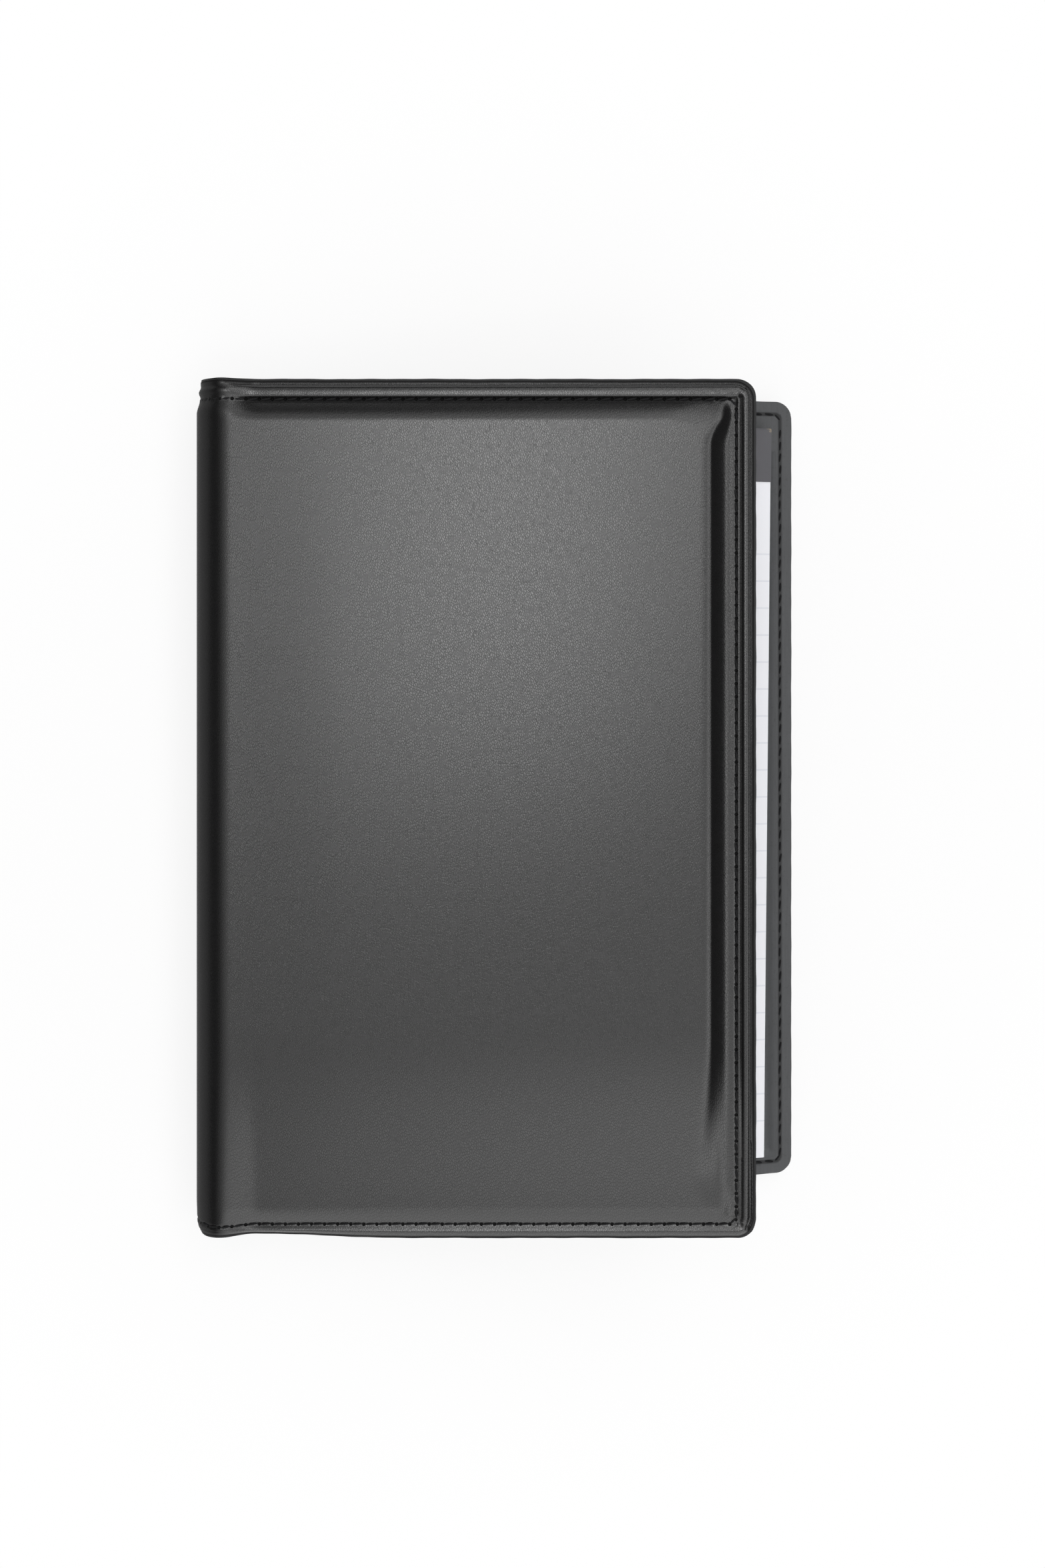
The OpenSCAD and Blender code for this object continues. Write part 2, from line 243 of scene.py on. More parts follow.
def round_corners(along, side, edge, half, radius):
    """Bends the square corners at the free edge to a radius, ring by ring."""
    from_edge, from_head = edge - along, half - np.abs(side)
    near = (from_edge < radius) & (from_head < radius)
    ring = np.minimum(from_edge, from_head)
    past = radius - np.maximum(from_edge, from_head)
    share = np.where(near, past / np.where(near, radius - ring, 1), 0)
    turn = math.pi / 4 * share
    long_way = radius - (radius - ring) * np.cos(turn)
    short_way = radius - (radius - ring) * np.sin(turn)
    edge_first = from_edge <= from_head
    along = np.where(near, edge - np.where(edge_first, long_way, short_way), along)
    side = np.where(near, np.sign(side) * (half - np.where(edge_first, short_way, long_way)), side)
    return along, side


# Within this far of them the rims wander a little, in waves of these lengths.
loose_reach = 2
edge_waves = 31, 17, 7.3
end_waves = 37, 19, 8.1
foot_phase = 40
# A cover's extra reach at the foot grows from the roll, beside which it is drawn in.
reach_span = 0, 50
drawn_in = 0.8
drawn_start = -14, -2
drawn_end = 5, 45
reach_margin = 0.3


def foot_reach(along):
    """The share of a cover's extra reach at the foot."""
    drawn = ease(along, *drawn_start) * (1 - ease(along, *drawn_end))
    return ease(along, *reach_span) - drawn_in * drawn


def quilt(name, cover, columns, rows, low, high, finish, inset, wander=0.0):
    """A layer of a cover, laid on columns and rows between two heights, then wrapped round the roll."""
    mesh, along, side, upper = shell(name, columns, rows)
    height = np.where(upper, high(along, side), low(along, side))
    from_edge, from_head = cover.length - along, half_h - np.abs(side)
    nearest = np.minimum(from_edge, from_head)
    border = from_edge - cover.edge_seam, from_head - cover.end_seam(side), nearest
    keep_vectors(mesh, "border", np.stack(border, axis=1))
    loose = 1 - ease(nearest, inset, inset + loose_reach)
    edge_loose, end_loose = np.where(from_edge < from_head, (loose, 0 * loose), (0 * loose, loose))
    along_shift = wander * edge_loose * wave(side, *edge_waves)
    side_shift = wander * end_loose * wave(along + foot_phase * np.sign(side), *end_waves)
    at_foot = 1 - ease(half_h + side, reach_margin, cover.foot_seam)
    side_shift -= cover.foot_out * foot_reach(along) * at_foot
    along, side = round_corners(along, side, cover.length - inset, half_h - inset, corner_radius)
    flat = np.stack([along + along_shift, side + side_shift, height], axis=1)
    piece = finish_piece(mesh, flat, cover.lay(flat), finish, cover.flip)
    return cover.follow(piece)


# Shader maths

class Signal:
    """A socket's value in Python expressions. Each operator adds a Math node."""

    def __init__(self, owner, socket):
        self.owner = owner
        self.socket = socket

    def __add__(self, other):
        return self.owner.math("ADD", self, other)

    def __radd__(self, other):
        return self.owner.math("ADD", other, self)

    def __sub__(self, other):
        return self.owner.math("SUBTRACT", self, other)

    def __rsub__(self, other):
        return self.owner.math("SUBTRACT", other, self)

    def __mul__(self, other):
        return self.owner.math("MULTIPLY", self, other)

    def __rmul__(self, other):
        return self.owner.math("MULTIPLY", other, self)

    def __truediv__(self, other):
        return self.owner.math("DIVIDE", self, other)

    def __rtruediv__(self, other):
        return self.owner.math("DIVIDE", other, self)

    def __lt__(self, other):
        return self.owner.math("LESS_THAN", self, other)

    def __gt__(self, other):
        return self.owner.math("GREATER_THAN", self, other)


class Finish:
    """A material while it is made."""

    def __init__(self, name):
        self.material = bpy.data.materials.new(name)
        self.material.use_nodes = True
        self.tree = self.material.node_tree
        self.tree.nodes.clear()

    def node(self, kind, settings=None, inputs=None, output=0):
        """Adds any node: its settings, then the values or links of its sockets. Gives an output or a list."""
        made = self.tree.nodes.new("ShaderNode" + kind)
        for key, value in (settings or {}).items():
            setattr(made, key, value)
        for key, value in (inputs or {}).items():
            if isinstance(value, Signal):
                self.tree.links.new(value.socket, made.inputs[key])
            else:
                made.inputs[key].default_value = value
        if isinstance(output, list):
            return [Signal(self, made.outputs[key]) for key in output]
        return Signal(self, made.outputs[output]) if made.outputs else None

    def math(self, operation, *values):
        return self.node("Math", {"operation": operation}, dict(enumerate(values)))

    def kept(self, name):
        """A vector that was kept for each vertex, in millimetres."""
        return self.node("Attribute", {"attribute_name": name}, output="Vector")

    def object_place(self):
        """Place on the object, in millimetres."""
        return self.scaled(self.node("TexCoord", output="Object"), 1 / MM)

    def scaled(self, vector, scale):
        return self.node("VectorMath", {"operation": "SCALE"}, {0: vector, "Scale": scale})

    def split(self, vector):
        return self.node("SeparateXYZ", None, {0: vector}, output=["X", "Y", "Z"])

    def turned(self, vector, angle, *sizes):
        """A vector measured along axes turned by an angle, in cells of the given sizes."""
        return self.node("Mapping", {"vector_type": "TEXTURE"}, {
            "Vector": vector, "Rotation": (0, 0, math.radians(angle)), "Scale": sizes})

    def noise(self, vector, scale, detail, output=0):
        return self.node("TexNoise", None, {"Vector": vector, "Scale": scale, "Detail": detail}, output)

    def shade(self, share, first, second):
        """A colour between two, each given as a tuple or made by nodes."""
        ends = [end if isinstance(end, Signal) else (*end, 1) for end in (first, second)]
        return self.node("Mix", {"data_type": "RGBA"}, {"Factor": share, 6: ends[0], 7: ends[1]}, output=2)

    def between(self, value, low, high):
        """0 at low, 1 at high, and smooth between them."""
        return self.node("MapRange", {"interpolation_type": "SMOOTHSTEP"}, {
            "Value": value, "From Min": low, "From Max": high})

    def off_step(self, step):
        """How far a value is from the nearest whole one."""
        return step - self.math("ROUND", step)

    def needle_holes(self, across, along):
        """1 in the needle holes of a seam, from the distance across it and the place along it."""
        pit, rim = 0.06, 0.25
        off = self.off_step(along / stitch_pitch - 0.5) * stitch_pitch
        return 1 - self.between(off * off + across * across, pit, rim)

    def bump(self, height, depth, strength, under=None):
        """Normals from a height that runs over 0 to 1, as deep as given in millimetres."""
        inputs = {"Height": height, "Distance": depth * MM, "Strength": strength}
        if under:
            inputs["Normal"] = under
        return self.node("Bump", None, inputs)

    def principled(self, **inputs):
        names = {key.replace("_", " "): value for key, value in inputs.items()}
        return self.node("BsdfPrincipled", None, names)

    def end(self, shader):
        """Ends the material in a shader."""
        self.node("OutputMaterial", None, {"Surface": shader})
        return self.material

    def surface(self, **inputs):
        """Ends the material in one Principled shader."""
        return self.end(self.principled(**inputs))


def leather_finish():
    """Black embossed leatherette: slanting creases, a soft sheen, and needle holes along the seams."""
    slant = 24
    cell_sizes = 0.45, 0.95, 1
    shake_reach = 0.4
    crease_w = 0.24
    past_corner = -0.5
    raw_edge_w, raw_edge_more = 1.3, 0.9
    foot_low, foot_high = -112, -75
    roll_dull, roll_fade = 0.8, 6
    crease_dull = 0.24
    f = Finish("black_leatherette")
    flat = f.kept("flat")
    along, side, _ = f.split(flat)
    edge_off, head_off, from_rim = f.split(f.kept("border"))
    drift = f.noise(flat, 0.35, 2)
    shake = f.scaled(f.noise(flat, 1.3, 2, "Color"), shake_reach)
    cells = f.node("VectorMath", {"operation": "ADD"}, {0: f.turned(flat, slant, *cell_sizes), 1: shake})
    crease = f.node("TexVoronoi", {"voronoi_dimensions": "2D", "feature": "DISTANCE_TO_EDGE"}, {
        "Vector": cells, "Scale": 1, "Randomness": 0.9})
    pebble = f.between(crease, 0.0, crease_w)
    fine = f.noise(flat, 4.5, 3)
    end_holes = f.needle_holes(head_off, edge_off) * (edge_off > past_corner)
    edge_holes = f.needle_holes(edge_off, side) * (head_off > past_corner)
    hole = end_holes + edge_holes
    raw_edge_end = raw_edge_w + f.between(side, foot_low, foot_high) * raw_edge_more
    raw_edge = 1 - f.between(from_rim, lining_margin, raw_edge_end)
    roll = roll_dull - f.between(along, -roll_fade, 0) * roll_dull
    grain = f.bump(pebble * 0.8 + fine * 0.2, depth=0.05, strength=0.3)
    pitted = f.bump(1 - hole, depth=0.5, strength=1.0, under=grain)
    # The tone drifts at random, which is the leather's own colour; it is also darker in the creases, which is
    # painted shade.
    tone = f.shade(pebble * 0.6 + drift * 0.4, (0.0038, 0.0038, 0.004), (0.0068, 0.0065, 0.0067))
    sheen = f.principled(
        Base_Color=tone, Roughness=0.3 - pebble * 0.03 + (drift - 0.5) * 0.05, Normal=pitted,
        Specular_IOR_Level=0.9)
    dull = f.principled(
        Base_Color=tone, Roughness=0.8 + drift * 0.1, Normal=pitted, Specular_IOR_Level=0.12)
    worn = f.math("MAXIMUM", hole, raw_edge)
    soft = f.math("MAXIMUM", roll, crease_dull - pebble * crease_dull)
    dulled = f.math("MAXIMUM", worn, soft)
    return f.end(f.node("MixShader", None, {0: dulled, 1: sheen, 2: dull}))


def lining_finish(name, tone, backed):
    """Charcoal coated cloth with a fine pebbled face. On the covers it has a black back, and a dark line
    along the seam that is painted shade in the seam's groove.
    """
    tone_range = 0.7, 1.3
    scuff_low, scuff_high = 0.56, 0.72
    rim_w, rim_fade = 4, 6
    # How dark and how wide the painted shade along the seam is
    seam_shade_share = 0.85
    seam_shade_w, seam_shade_fade = 0.25, 0.85
    black = 0.008, 0.008, 0.0085
    f = Finish(name)
    flat = f.kept("flat")
    pebble = f.node("TexVoronoi", {"voronoi_dimensions": "2D"}, {
        "Vector": flat, "Scale": 2.6, "Randomness": 0.9})
    cloud = f.noise(flat, 0.09, 3)
    fine = f.noise(flat, 3.0, 3)
    streak = f.noise(f.turned(flat, 0, 0.5, 9, 1), 1, 3)
    scuff = f.between(f.noise(flat, 0.9, 4), scuff_low, scuff_high)
    dark, light = ([part * share for part in tone] for share in tone_range)
    colour = f.shade(cloud * 0.3 + fine * 0.25 + streak * 0.45 - scuff * 0.25, dark, light)
    if backed:
        edge_off, head_off, from_rim = f.split(f.kept("border"))
        height = f.split(flat)[2]
        off = f.math("ABSOLUTE", f.math("MINIMUM", edge_off, head_off))
        behind = f.between(height, 0.5 * lining_t, 0.8 * lining_t)
        back = behind * (1 - f.between(from_rim, rim_w, rim_fade))
        # A dark line along the seam: painted shade in the seam's groove.
        sewn = seam_shade_share - f.between(off, seam_shade_w, seam_shade_fade) * seam_shade_share
        colour = f.shade(f.math("MAXIMUM", back, sewn), colour, black)
    return f.surface(
        Base_Color=colour, Roughness=0.62 + fine * 0.12,
        Normal=f.bump(pebble * 0.6 + fine * 0.4, depth=0.05, strength=0.4))


def thread_finish():
    """Black sewing thread, twisted."""
    f = Finish("black_thread")
    flat = f.kept("flat")
    x, y, z = f.split(flat)
    twist = f.math("SINE", (x + y) * 14 + z * 9)
    fuzz = f.noise(flat, 6, 2)
    return f.surface(
        Base_Color=f.shade(fuzz, (0.006, 0.006, 0.0065), (0.017, 0.017, 0.018)),
        Roughness=0.65 + fuzz * 0.15, Specular_IOR_Level=0.15,
        Normal=f.bump(twist * 0.5 + 0.5, depth=0.05, strength=0.6))


def elastic_finish():
    """Black woven elastic: ribs along its length and a fine weave across."""
    rib_turns, pick_turns = 7.0, 9.5
    f = Finish("black_elastic")
    flat = f.kept("flat")
    x, y, _ = f.split(flat)
    rib = f.math("SINE", y * rib_turns)
    pick = f.math("SINE", x * pick_turns)
    weave = rib * 0.35 + pick * rib * 0.15 + 0.5
    fuzz = f.noise(flat, 3, 3)
    return f.surface(
        Base_Color=f.shade(weave * 0.7 + fuzz * 0.3, (0.008, 0.008, 0.008), (0.03, 0.03, 0.031)),
        Roughness=0.75 + fuzz * 0.15, Normal=f.bump(weave, depth=0.12, strength=0.7))


def paper_finish(ruled):
    """White writing paper, with pale rules on the top sheet."""
    line_w, line_fade = 0.018, 0.034
    line_share = 0.55
    rule_tone = 0.68, 0.7, 0.76
    f = Finish("ruled_paper" if ruled else "paper")
    flat = f.kept("flat")
    fibre = f.noise(flat, 0.9, 4)
    tooth = f.noise(flat, 6, 3)
    white = f.shade(fibre, (0.885, 0.89, 0.925), (0.9, 0.9, 0.935))
    if ruled:
        y = f.split(flat)[1]
        step = (first_rule - y) / rule_pitch
        line = 1 - f.between(f.math("ABSOLUTE", f.off_step(step)), line_w, line_fade)
        held = (step > -0.5) * (step < rule_count - 0.5) * (0.75 + fibre * 0.5)
        white = f.shade(line * held * line_share, white, rule_tone)
    return f.surface(
        Base_Color=white, Roughness=0.85 + tooth * 0.05, Normal=f.bump(tooth, depth=0.02, strength=0.2))


def tape_finish():
    """Charcoal binding tape, worn through to tan card at its outer corner."""
    weave_turns = 11
    worn_share = 0.85
    ragged = 3.5
    worn_start, worn_end = 0.4, 1.6
    tan = 0.3, 0.25, 0.18
    f = Finish("binding_tape")
    flat = f.kept("flat")
    x, y, _ = f.split(flat)
    grit = f.noise(flat, 2.2, 4)
    cloud = f.noise(flat, 0.12, 2)
    weave = f.math("SINE", x * weave_turns) * f.math("SINE", y * weave_turns)
    corner = f.between(x + y - (pad_width + pad_height) / 2 + grit * ragged, worn_start, worn_end)
    colour = f.shade(grit * 0.5 + cloud * 0.5, (0.082, 0.081, 0.09), (0.115, 0.113, 0.122))
    return f.surface(
        Base_Color=f.shade(corner * worn_share, colour, tan), Roughness=0.62 + grit * 0.15,
        Normal=f.bump(weave * 0.25 + grit * 0.5 + 0.25, depth=0.05, strength=0.4))


def board_finish(name, dark, light):
    """Pulp board: fibres and flecks."""
    fibre_turn = 20
    fibre_sizes = 0.4, 3, 1
    f = Finish(name)
    place = f.object_place()
    fibre = f.noise(f.turned(place, fibre_turn, *fibre_sizes), 1, 4)
    fleck = f.between(f.noise(place, 1.3, 2), 0.55, 0.7)
    return f.surface(
        Base_Color=f.shade(fibre * 0.7 + fleck * 0.3, dark, light), Roughness=0.85 + fibre * 0.1,
        Normal=f.bump(fibre, depth=0.05, strength=0.4))


def foam_finish():
    """Off-white padding foam with open pores."""
    f = Finish("padding_foam")
    flat = f.kept("flat")
    pore = f.node("TexVoronoi", None, {"Vector": flat, "Scale": 1.4})
    cloud = f.noise(flat, 0.1, 2)
    share = f.between(pore, 0.1, 0.5) * 0.7 + cloud * 0.3
    return f.surface(
        Base_Color=f.shade(share, (0.5, 0.49, 0.44), (0.76, 0.75, 0.7)), Roughness=0.9 + cloud * 0.05,
        Normal=f.bump(pore, depth=0.3, strength=0.6))


leather = leather_finish()
lining = lining_finish("charcoal_lining", (0.072, 0.074, 0.077), backed=True)
# The pocket panels have the lining's cloth in a darker tone, which is painted shade.
shaded_pocket_cloth = lining_finish("shaded_charcoal_pocket", (0.063, 0.065, 0.068), backed=False)
thread = thread_finish()
elastic = elastic_finish()
foam = foam_finish()
paper = paper_finish(ruled=False)
ruled_paper = paper_finish(ruled=True)
tape = tape_finish()


# The covers' layers

# Distances of the layers' columns and rows from the rim
edge_steps = [
    0.6, 0.9, 1.2, 1.5, 1.8, 2.0, 2.2, 2.5, 2.8, 3.1, 3.4, 3.75, 4.05, 4.35, 4.6, 4.9, 5.15, 5.45, 5.9,
    6.5, 7.2, 8.0, 8.8, 9.6, 10.4, 11.0, 11.4, 11.7, 12.0, 12.3, 12.8]
fine_edge_steps = [0.0, 0.2, 0.45] + edge_steps
padding_edge_steps = [9.0, 9.6, 10.4, 11.2, 12.0, 13.0, 15.0]
padding_end_steps = [7.6, 8.4, 9.4, 10.6, 12.0, 14.0]
fine_step = stitch_pitch / 3
coarse_step = 4
step_clear = 0.6
roll_clear = 0.4
roll_columns = 25
padding_roll_columns = 13

# Heights over the inner face. A fold's profile runs from the rim at 0 to the seam at 1.
edge_level = 0.65
seam_level = 2.0
wide_base = [(0.2, edge_level), (0.65, edge_level), (0.93, 1.8), (1.08, seam_level)]
low_base = [(0.08, 1.2), (0.55, 2.6), (0.97, 1.95), (1.08, seam_level)]
narrow_base = [
    (0.2, edge_level), (0.5, edge_level), (0.76, 1.7), (0.87, 2.05), (1, 1.75), (1.08, seam_level)]
head_waves = stitch_pitch, 23, 11
side_waves = stitch_pitch, 29, 13
low_waves = 23, 11
fold_waver = 0.06
low_waver = 0.05

# Past the seam the border is flat for this width. At the head and foot the panel then slopes up.
seam_side = 0.45
head_slope_start = 0.1
slope_head = 6.5
# The slope at the head is gentler near the corners, and the one at the foot is steeper.
corner_gentler = 0.3
corner_span = 12, 24
foot_steeper = 0.7
# At the free edge the panel drops in a hollow curve to a channel beside the seam.
channel = 2.0
slope_side = 5.3
hollowness = 1.5
rise_span = 0.6, 4
# That curve turns out to the seam at the corners.
corner_turn = 5.0
turn_span = 6, 18
# Towards the foot the free edge runs out low, with a wider slope and a narrower channel.
low_span = 60, 118
low_fold_share = 0.85
low_channel = 0.45
low_slope = 1.1
low_hollowness = 0.4
# At a corner the two borders meet within this distance.
mitre = 0.8
# The front panel is domed, and both panels are thinner at the foot.
crown = 0.35
crown_reach = 70
crown_span = 0, 30
foot_thinner = 0.65
thin_span = 4, 56

# Near the roll the border swings out, so that it lies almost flush with the panel.
flare_reach = 6.0
flare_profile = [(1.0, 4.45), (1.9, 4.4), (3.4, 4.95), (4.9, 4.5), (5.45, 4.7), (9.0, 5.5)]
foot_flare_profile = [(0.6, 4.6), (1.8, 5.1), (3.0, 5.35), (3.7, 5.2), (4.5, 5.4), (9.0, 5.5)]
lining_flare = 3.7
lining_flare_span = 5, 12.3
head_thread_flare = 4.5
foot_thread_flare = 5.2

# The leather is never lower than this over the boards, whose edges are this far in.
over_board = 0.35
board_cover = lining_t + board_t + over_board
board_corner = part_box("rear_board")[1] / MM
board_edge = rear_length / 2 - board_corner.x
board_head = half_h - board_corner.y
board_lap, board_lap_end = 1.3, 0.2
board_clear = 0.12
# Where the padding goes past the board, at the roll, it lies on the lining.
board_start = 3.5
padding_gap = 0.05


def columns_of(cover, steps):
    """Columns from the middle of the roll to the free edge, in step with the stitches."""
    seam = cover.length - cover.edge_seam
    last = cover.length - steps[-1] - step_clear
    count = int((seam - 0.5 * fine_step) // fine_step)
    even = [seam - (i + 0.5) * fine_step for i in range(count)]
    flat_part = [place for place in even if roll_clear < place < last]
    roll_part = np.linspace(-half_roll, 0, roll_columns)
    return sorted([*roll_part, *flat_part, *(cover.length - step for step in steps)])


def rows_of(steps, spacing):
    """Rows from foot to head, evenly spaced between the borders."""
    last = half_h - steps[-1] - step_clear
    count = int(last // spacing)
    upper = [(i + 0.5) * spacing for i in range(count)] + [half_h - step for step in steps]
    return sorted([*upper, *(-place for place in upper)])


def flare(along):
    """0 on the flat of a cover, 1 on the roll."""
    return ease(-along, -flare_reach, flare_reach)


def lining_lift(along, side):
    """How far the lining's border swings out near the roll."""
    return lining_flare * flare(along) * (1 - ease(half_h - np.abs(side), *lining_flare_span))


def lining_top(along, side):
    """The lining's back, which the board and the leather lie on."""
    return lining_t + lining_lift(along, side)


def under_stitches(place):
    """1 under the middle of each stitch along a seam, falling to 0 between stitches."""
    narrowness = 4
    return (0.5 + 0.5 * np.cos(2 * np.pi * place / stitch_pitch)) ** narrowness


def bead(distance, middle, outer_half, inner_half, height, squareness):
    """A rounded fold, flat on top: its height over what it stands on."""
    off = np.abs(distance - middle) / np.where(distance < middle, outer_half, inner_half)
    return height * np.sqrt(np.clip(1 - off ** squareness, 0, 1))


def dimple(distance, middle, width):
    """1 at a line, falling to 0 beside it."""
    return np.exp(-((distance - middle) / width) ** 2)


def soft_limit(value):
    """The value where it is well under 1, and 1 where it is over, with a rounded bend between."""
    rounding = 0.014
    lift = 1.01
    return np.clip((value + lift - np.sqrt((value - 1) ** 2 + rounding)) / 2, 0, 1)


def wide_fold(part, along):
    """A wide turned edge, highest near the seam."""
    height = 2.15 + fold_waver * wave(along, *head_waves)
    fold = bead(part, middle=0.78, outer_half=0.5, inner_half=0.18, height=height, squareness=2.6)
    return np.maximum(profile(wide_base, part), edge_level + fold)


def low_fold(part, along):
    """A turned edge that is rounded at the rim and slopes gently down to the seam."""
    return profile(low_base, part) + low_waver * wave(along, *low_waves)


def narrow_fold(part, side):
    """A turned edge with a narrow bead, then a fine ridge beside the seam."""
    height = 2.1 + fold_waver * wave(side, *side_waves)
    fold = bead(part, middle=0.55, outer_half=0.25, inner_half=0.2, height=height, squareness=4)
    return np.maximum(profile(narrow_base, part), edge_level + fold)


def head_border(cover, from_edge, from_head, along, side):
    """The turned edge at the head and foot, pulled in under each stitch."""
    pull, pull_w = 0.45, 0.09
    part = from_head / cover.end_seam(side)
    fold = np.where(side > 0, wide_fold(part, along), low_fold(part, along))
    return fold - pull * under_stitches(from_edge - cover.edge_seam) * dimple(part, 1, pull_w)


def edge_border(cover, from_edge, side, low):
    """The turned edge at the free side: narrow, and wide where the cover runs out low at the foot."""
    pull, pull_w = 0.4, 0.08
    part = from_edge / cover.edge_seam
    narrow = narrow_fold(part, side)
    fold = narrow + (low_fold(part, side) - narrow) * low_fold_share * low
    return fold - pull * under_stitches(side) * dimple(part, 1, pull_w)


def flared_border(cover, from_edge, from_head, side):
    """The turned edge as it lies on the roll."""
    pull, pull_w = 0.3, 0.45
    border = np.where(side > 0, profile(flare_profile, from_head), profile(foot_flare_profile, from_head))
    seam = dimple(from_head, cover.end_seam(side), pull_w)
    return border - pull * under_stitches(from_edge - cover.edge_seam) * seam


def leather_top(cover):
    """Height of a cover's outer surface."""
    def height(along, side):
        from_edge, from_head = cover.length - along, half_h - np.abs(side)
        past_edge, past_head = from_edge - cover.edge_seam, from_head - cover.end_seam(side)
        low = ease(-side, *low_span)
        head = head_border(cover, from_edge, from_head, along, side)
        edge = edge_border(cover, from_edge, side, low)
        border = head + (edge - head) * ease(from_head - from_edge, -mitre, mitre)
        border = np.where(np.minimum(past_edge, past_head) > seam_side, seam_level, border)
        gentler = 1 + corner_gentler * (1 - ease(from_edge, *corner_span))
        head_slope = slope_head * np.where(side > 0, gentler, foot_steeper)
        head_part = np.clip((past_head - head_slope_start) / head_slope, 0, 1)
        head_rise = np.sin(np.pi / 2 * head_part)
        turned_out = corner_turn * (1 - ease(from_head, *turn_span))
        edge_in = past_edge - channel * (1 - low_channel * low) + turned_out
        edge_part = np.clip(edge_in / (slope_side * (1 + low_slope * low)), 0, 2)
        edge_rise = soft_limit(edge_part ** (hollowness - low_hollowness * low))
        edge_rise = edge_rise * ease(past_edge, *rise_span)
        full = (cover_t - seam_level) * (1 - foot_thinner * (1 - ease(half_h + side, *thin_span)))
        if cover is front:
            dome = crown * np.sqrt(np.clip(from_edge / crown_reach, 0, 1)) * (1 - (side / half_h) ** 2)
            full = full + dome * ease(along, *crown_span)
        flat_part = border + full * head_rise * edge_rise
        edge_lap = ease(from_edge, board_edge - board_lap, board_edge - board_lap_end)
        on_board = edge_lap * ease(from_head, board_head - board_lap, board_head - board_lap_end)
        lifted = seam_level + (board_cover - seam_level) * on_board
        flat_part = np.where(on_board > 0, np.maximum(flat_part, lifted), flat_part)
        flared = flared_border(cover, from_edge, from_head, side)
        return flat_part + (flared - flat_part) * flare(along)
    return height


def leather_under(cover):
    """The leather's inner face: one thickness under the outer one, and clear of the lining and the board."""
    top = leather_top(cover)

    def height(along, side):
        past_edge = cover.length - along > board_edge - board_lap_end
        past_head = half_h - np.abs(side) > board_head - board_lap_end
        on_board = np.where(past_edge & past_head & (along > 0), board_t + board_clear, 0)
        return np.maximum(top(along, side) - skin_t, lining_top(along, side) + on_board)
    return height


def lining_under(cover):
    """The lining's face, with a groove at the seam, deeper under each stitch."""
    groove_depth, groove_w = 0.2, 0.6
    pull, pull_w = 0.15, 0.5

    def height(along, side):
        edge_off = cover.length - along - cover.edge_seam
        head_off = half_h - np.abs(side) - cover.end_seam(side)
        head_dip = dimple(head_off, 0, pull_w) * under_stitches(edge_off)
        edge_dip = dimple(edge_off, 0, pull_w) * under_stitches(side)
        groove = groove_depth * dimple(np.minimum(edge_off, head_off), 0, groove_w)
        return groove + pull * np.maximum(head_dip, edge_dip) + lining_lift(along, side)
    return height


def padding_columns(cover):
    """Columns of the padding, close together where it leaves the board and at its edge."""
    edge_part = sorted(cover.length - step for step in padding_edge_steps)
    near, far, even_from, clear = 2, 6, 10, 2
    board_part = [near, board_start - padding_gap, board_start + padding_gap, far]
    even = np.arange(even_from, edge_part[0] - clear, coarse_step)
    return [*np.linspace(-half_roll, 0, padding_roll_columns), *board_part, *even, *edge_part]


def cover_layers(cover):
    """Leather, padding and lining of a cover."""
    name = cover.name
    under = leather_under(cover)

    def padding_low(along, side):
        on_lining = lining_top(along, side) + padding_gap
        return np.where(along < board_start, on_lining, lining_t + board_t + padding_gap)

    def padding_high(along, side):
        return np.maximum(under(along, side) - padding_gap, padding_low(along, side) + padding_gap)

    outer = quilt(
        name + "_leather", cover, columns_of(cover, edge_steps), rows_of(edge_steps, fine_step),
        under, leather_top(cover), leather, inset=lining_margin, wander=0.06)
    padding = quilt(
        name + "_padding", cover, padding_columns(cover), rows_of(padding_end_steps, coarse_step),
        padding_low, padding_high, foam, inset=padding_end_steps[0])
    steps = [step for step in fine_edge_steps if step >= cover.rim]
    inner = quilt(
        name + "_lining_cloth", cover, columns_of(cover, steps), rows_of(steps, fine_step),
        lining_under(cover), lining_top, lining, inset=cover.rim, wander=0.08)
    return outer, padding, inner


for cover in (rear, front):
    for piece, layer in zip(cover_layers(cover), ("_skin", "_foam", "_lining")):
        shared = ["spine" + layer] if cover is rear else []
        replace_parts(piece, cover.name + layer, *shared)


# Seams

stitch_length = 2.7
thread_w = 0.62
thread_h = 0.5


def stitch_mesh(name, stitches):
    """Stitches as plump threads, each given as a middle, a direction and a length on flat cloth."""
    batch = 40
    sides = 6
    whole = bmesh.new()
    row = bpy.data.meshes.new(name + "_row")
    for first in range(0, len(stitches), batch):
        bm = bmesh.new()
        for middle, angle, length in stitches[first:first + batch]:
            place = Matrix.Translation(middle) @ Matrix.Rotation(math.radians(angle), 4, "Z")
            size = Matrix.Diagonal((length / 2, thread_w / 2, thread_h / 2, 1))
            lying = place @ size @ Matrix.Rotation(math.pi / 2, 4, "Y")
            bmesh.ops.create_uvsphere(bm, u_segments=sides, v_segments=sides, radius=1, matrix=lying)
        bm.to_mesh(row)
        bm.free()
        whole.from_mesh(row)
    bpy.data.meshes.remove(row)
    return mesh_from(whole, name)


